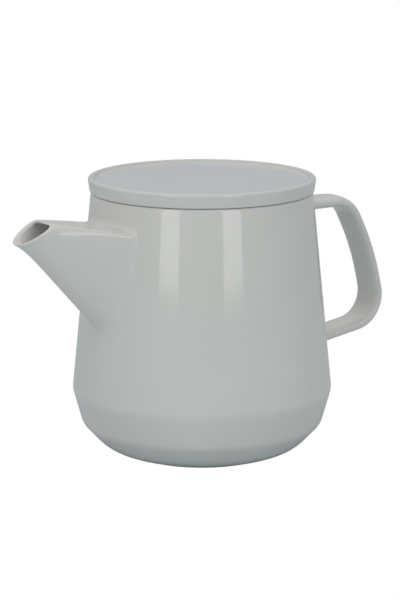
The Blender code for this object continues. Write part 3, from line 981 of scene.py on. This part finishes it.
# ---------------- materials
def new_material(name, roughness, metallic=0.0):
    material = bpy.data.materials.new(name)
    material.use_nodes = True
    tree = material.node_tree
    shader = tree.nodes["Principled BSDF"]
    shader.inputs["Roughness"].default_value = roughness
    shader.inputs["Metallic"].default_value = metallic
    return material, tree, shader


def wire(output, node, name):
    """Joins an output to one of a node's inputs."""
    node.id_data.links.new(output, node.inputs[name])


def add_node(tree, kind, **values):
    """A shader node. Values go to its inputs by name, or to its own settings where it has no such input."""
    node = tree.nodes.new("ShaderNode" + kind)
    for name, value in values.items():
        label = name.replace("_", " ").title()
        if label in node.inputs:
            node.inputs[label].default_value = value
        else:
            setattr(node, name, value)
    return node


def coordinates(tree, kind):
    return add_node(tree, "TexCoord").outputs[kind]


def parted(tree, vector):
    """The X, Y and Z of a vector."""
    parts = add_node(tree, "SeparateXYZ")
    wire(vector, parts, 0)
    return parts.outputs


def stretched(tree, vector, scale=(1.0, 1.0, 1.0)):
    mapping = add_node(tree, "Mapping", scale=scale)
    wire(vector, mapping, "Vector")
    return mapping.outputs["Vector"]


def noise(tree, vector, scale, detail=2.0, roughness=0.5):
    node = add_node(tree, "TexNoise", scale=scale, detail=detail, roughness=roughness)
    wire(vector, node, "Vector")
    return node.outputs["Fac"]


def ranged(tree, value, low, high, from_low=0.3, from_high=0.7):
    """The value, moved from one range to another."""
    node = add_node(tree, "MapRange", from_min=from_low, from_max=from_high)
    node.inputs["To Min"].default_value = low
    node.inputs["To Max"].default_value = high
    wire(value, node, "Value")
    return node.outputs["Result"]


def combined(tree, operation, first, second):
    """A sum or product. second is a number or another node's output."""
    node = add_node(tree, "Math", operation=operation)
    wire(first, node, 0)
    if isinstance(second, float):
        node.inputs[1].default_value = second
    else:
        wire(second, node, 1)
    return node.outputs[0]


def colour_ramp(tree, value, stops):
    ramp = add_node(tree, "ValToRGB")
    first, last = stops[0], stops[-1]
    ramp.color_ramp.elements[0].position, ramp.color_ramp.elements[0].color = first[0], (*first[1], 1.0)
    ramp.color_ramp.elements[1].position, ramp.color_ramp.elements[1].color = last[0], (*last[1], 1.0)
    for place, colour in stops[1:-1]:
        ramp.color_ramp.elements.new(place).color = (*colour, 1.0)
    wire(value, ramp, "Fac")
    return ramp.outputs["Color"]


def bumped(tree, shader, height, strength, distance):
    bump = add_node(tree, "Bump", strength=strength, distance=distance)
    wire(height, bump, "Height")
    wire(bump.outputs["Normal"], shader, "Normal")


def glaze_material(name, tone):
    """Glossy pale glaze: clouds of tone a hair apart, a few tiny specks, and a faint orange peel."""
    material, tree, shader = new_material(name, 0.08)
    vector = stretched(tree, coordinates(tree, "Object"))
    clouds = noise(tree, vector, 16.0, detail=3.0)
    darker = tuple(c * 0.975 for c in tone)
    lighter = tuple(min(1.0, c * 1.02) for c in tone)
    base = colour_ramp(tree, clouds, ((0.3, darker), (0.5, tone), (0.7, lighter)))
    specks = add_node(tree, "TexVoronoi", scale=260.0)
    wire(vector, specks, "Vector")
    rare = noise(tree, vector, 90.0, detail=0.0)
    near = ranged(tree, specks.outputs["Distance"], 1.0, 0.0, 0.05, 0.11)
    seldom = ranged(tree, rare, 0.0, 1.0, 0.66, 0.70)
    speck_share = combined(tree, "MULTIPLY", combined(tree, "MULTIPLY", near, seldom), 0.25)
    mix = add_node(tree, "MixRGB")
    wire(speck_share, mix, "Fac")
    wire(base, mix, "Color1")
    mix.inputs["Color2"].default_value = (0.36, 0.33, 0.27, 1.0)
    wire(mix.outputs["Color"], shader, "Base Color")
    rough = ranged(tree, noise(tree, vector, 45.0), 0.06, 0.10)
    wire(rough, shader, "Roughness")
    shader.inputs["Coat Weight"].default_value = 0.35
    shader.inputs["Coat Roughness"].default_value = 0.04
    peel = noise(tree, vector, 420.0, detail=1.0)
    bumped(tree, shader, peel, 0.02, 0.15 * MM)
    return material


def bisque_material():
    """Bare fired porcelain, where the glaze is wiped off."""
    material, tree, shader = new_material("bare_porcelain", 0.75)
    vector = stretched(tree, coordinates(tree, "Object"))
    grain = noise(tree, vector, 900.0, detail=4.0)
    tone = colour_ramp(tree, grain, ((0.3, (0.62, 0.59, 0.54)), (0.7, (0.74, 0.72, 0.67))))
    wire(tone, shader, "Base Color")
    wire(ranged(tree, grain, 0.68, 0.85), shader, "Roughness")
    bumped(tree, shader, grain, 0.35, 0.1 * MM)
    return material


def steel_material(name, scale, rough_low, rough_high, tone=(0.60, 0.59, 0.57), turned_lines=False):
    """Stainless steel with the fine lines of brushing or drawing, or, as turned_lines, of spinning."""
    material, tree, shader = new_material(name, rough_high, 1.0)
    place = coordinates(tree, "Object")
    along_lines = place
    if turned_lines:
        parts = parted(tree, place)
        flat = add_node(tree, "CombineXYZ")
        wire(parts["X"], flat, "X")
        wire(parts["Y"], flat, "Y")
        radius = add_node(tree, "VectorMath", operation="LENGTH")
        wire(flat.outputs[0], radius, 0)
        ring = add_node(tree, "CombineXYZ")
        wire(radius.outputs["Value"], ring, "X")
        wire(parts["Z"], ring, "Z")
        along_lines = ring.outputs[0]
    lines = noise(tree, stretched(tree, along_lines, scale), 1.0, detail=3.0, roughness=0.6)
    smudge = noise(tree, stretched(tree, place), 35.0)
    darker = tuple(c * 0.86 for c in tone)
    wire(colour_ramp(tree, lines, ((0.3, darker), (0.7, tone))), shader, "Base Color")
    spread = rough_high - rough_low
    line_part = ranged(tree, lines, 0.0, 0.6 * spread)
    smudge_part = ranged(tree, smudge, rough_low, rough_low + 0.4 * spread)
    wire(combined(tree, "ADD", line_part, smudge_part), shader, "Roughness")
    bumped(tree, shader, lines, 0.12, 0.05 * MM)
    return material


# ---------------- the stage
def camera_only(tree, seen, lit):
    """Shows one shader to the camera and another to everything else."""
    path = add_node(tree, "LightPath")
    mix = add_node(tree, "MixShader")
    wire(path.outputs["Is Camera Ray"], mix, "Fac")
    wire(lit.outputs[0], mix, 1)
    wire(seen.outputs[0], mix, 2)
    return mix


def sky_share(tree, way, against, along):
    """A factor on the sky: along in the direction way, against in the opposite one, and 1 between them."""
    dot = add_node(tree, "VectorMath", operation="DOT_PRODUCT")
    wire(coordinates(tree, "Generated"), dot, 0)
    dot.inputs[1].default_value = way
    share = add_node(tree, "ValToRGB")
    share.color_ramp.elements[0].color = (against / SKY_MOST,) * 3 + (1.0,)
    share.color_ramp.elements[1].color = (along / SKY_MOST,) * 3 + (1.0,)
    share.color_ramp.elements.new(0.5).color = (1.0 / SKY_MOST,) * 3 + (1.0,)
    wire(ranged(tree, dot.outputs["Value"], 0.0, 1.0, -1.0, 1.0), share, "Fac")
    return combined(tree, "MULTIPLY", share.outputs["Color"], SKY_MOST)


def make_world():
    """A plain white background, and the sky that lights the pot and shows in its gloss."""
    world = bpy.data.worlds.new("studio")
    world.use_nodes = True
    tree = world.node_tree
    seen = tree.nodes["Background"]
    seen.inputs["Color"].default_value = (1.0, 1.0, 1.0, 1.0)
    seen.inputs["Strength"].default_value = 1.0
    lit = add_node(tree, "Background")
    height = parted(tree, coordinates(tree, "Generated"))["Z"]
    wire(colour_ramp(tree, height, SKY), lit, "Color")
    turn = math.radians(CAMERA_TURN)
    sides = sky_share(tree, (math.cos(turn), -math.sin(turn), 0.0), SKY_LEFT, SKY_RIGHT)
    depth = sky_share(tree, (math.sin(turn), math.cos(turn), 0.0), SKY_FRONT, SKY_BEHIND)
    strength = combined(tree, "MULTIPLY", combined(tree, "MULTIPLY", sides, depth), SKY_STRENGTH)
    wire(strength, lit, "Strength")
    mix = camera_only(tree, seen, lit)
    wire(mix.outputs[0], tree.nodes["World Output"], "Surface")
    bpy.context.scene.world = world


def make_floor():
    """A plain paper floor, white to the camera and softly tinted in the light that it gives back."""
    mesh = bpy.data.meshes.new("floor")
    corners = [(FLOOR_HALF * x, FLOOR_HALF * y, 0.0) for x, y in ((-1, -1), (1, -1), (1, 1), (-1, 1))]
    mesh.from_pydata(corners, [], [(0, 1, 2, 3)])
    floor = placed("floor", mesh)
    floor.location.z = -FLOOR_DROP
    material, tree, shader = new_material("floor_paper", 0.9)
    shader.inputs["Base Color"].default_value = FLOOR_COLOUR
    seen = add_node(tree, "Emission", strength=1.0)
    mix = camera_only(tree, seen, shader)
    wire(mix.outputs[0], tree.nodes["Material Output"], "Surface")
    mesh.materials.append(material)


def make_softbox(name, turn_low, turn_high):
    """An upright lit panel between two turns from the camera's side of the pot, dim at its lower edge."""
    facing = math.radians(CAMERA_TURN + (turn_low + turn_high) / 2)
    width = 2 * BOX_AWAY * math.tan(math.radians(turn_high - turn_low) / 2)
    centre = Vector((-math.sin(facing), -math.cos(facing), 0.0)) * BOX_AWAY
    along = Vector((math.cos(facing), -math.sin(facing), 0.0)) * (width / 2)
    mesh = bpy.data.meshes.new(name)
    corners = [centre - along, centre + along]
    points = [(c.x, c.y, BOX_LOW) for c in corners] + [(c.x, c.y, BOX_HIGH) for c in reversed(corners)]
    mesh.from_pydata(points, [], [(0, 1, 2, 3)])
    panel = placed(name, mesh)
    panel.visible_camera = False
    material, tree, shader = new_material(name, 0.5)
    tree.nodes.remove(shader)
    glow = add_node(tree, "Emission")
    height = parted(tree, coordinates(tree, "Object"))["Z"]
    rise = ranged(tree, height, 0.0, BOX_STRENGTH, BOX_LOW, BOX_FULL)
    wire(rise, glow, "Strength")
    wire(glow.outputs[0], tree.nodes["Material Output"], "Surface")
    mesh.materials.append(material)


def make_camera():
    rise = math.radians(CAMERA_RISE)
    turn = math.radians(CAMERA_TURN)
    away = Vector((-math.sin(turn) * math.cos(rise), -math.cos(turn) * math.cos(rise), math.sin(rise)))
    right = Vector((math.cos(turn), -math.sin(turn), 0.0))
    aim = Vector((0.0, 0.0, AIM_Z)) - right * AIM_LEFT
    data = bpy.data.cameras.new("camera")
    data.sensor_width = 36.0
    data.lens = LENS
    data.clip_start = 0.01
    camera = placed("camera", data)
    camera.location = aim + away * CAMERA_AWAY
    camera.rotation_euler = (-away).to_track_quat("-Z", "Y").to_euler()
    bpy.context.scene.camera = camera


# ---------------- put together
def main():
    glaze = glaze_material("glaze_pot", GLAZE_TONE)
    lid_glaze = glaze_material("glaze_lid", LID_TONE)
    # a lighter copy of the glaze for the inside of the pot and spout: painted light in their hollows
    inside_painted_light_glaze = glaze_material("glaze_inside_painted_light", INSIDE_PAINTED_LIGHT_TONE)
    bare = bisque_material()
    spun = steel_material("spun_steel", (700.0, 1.0, 700.0), 0.18, 0.34, turned_lines=True)
    rolled = steel_material("rolled_steel", (40.0, 40.0, 900.0), 0.24, 0.42)
    pressed = steel_material("pressed_steel", (60.0, 900.0, 60.0), 0.24, 0.42)
    drawn = steel_material("drawn_wire", (500.0, 500.0, 60.0), 0.14, 0.28, tone=(0.66, 0.65, 0.63))

    pieces = [
        (make_pot([glaze, bare, inside_painted_light_glaze]), "pot", "glaze", ("pot_body", "spout", "handle")),
        (make_lid([lid_glaze, bare]), "cover", "glaze", ("lid",)),
        (make_collar([spun]), "infuser", "steel_sheet", ("infuser_collar",)),
        (make_tube([rolled]), "infuser", "steel_sheet", ("infuser_wall",)),
        (make_base([pressed]), "infuser", "steel_sheet", ("infuser_base",)),
        (make_loop("lift_loop_left_visual", -1, [drawn]), "infuser", "steel_wire", ("lift_loop_left",)),
        (make_loop("lift_loop_right_visual", 1, [drawn]), "infuser", "steel_wire", ("lift_loop_right",)),
    ]
    for piece, body, slot_name, nodes in pieces:
        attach(piece, body)
        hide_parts(*nodes)

    make_world()
    make_floor()
    for name, turn_low, turn_high in SOFTBOXES:
        make_softbox(name, turn_low, turn_high)
    make_camera()
    bpy.context.scene.view_settings.view_transform = "Standard"


main()
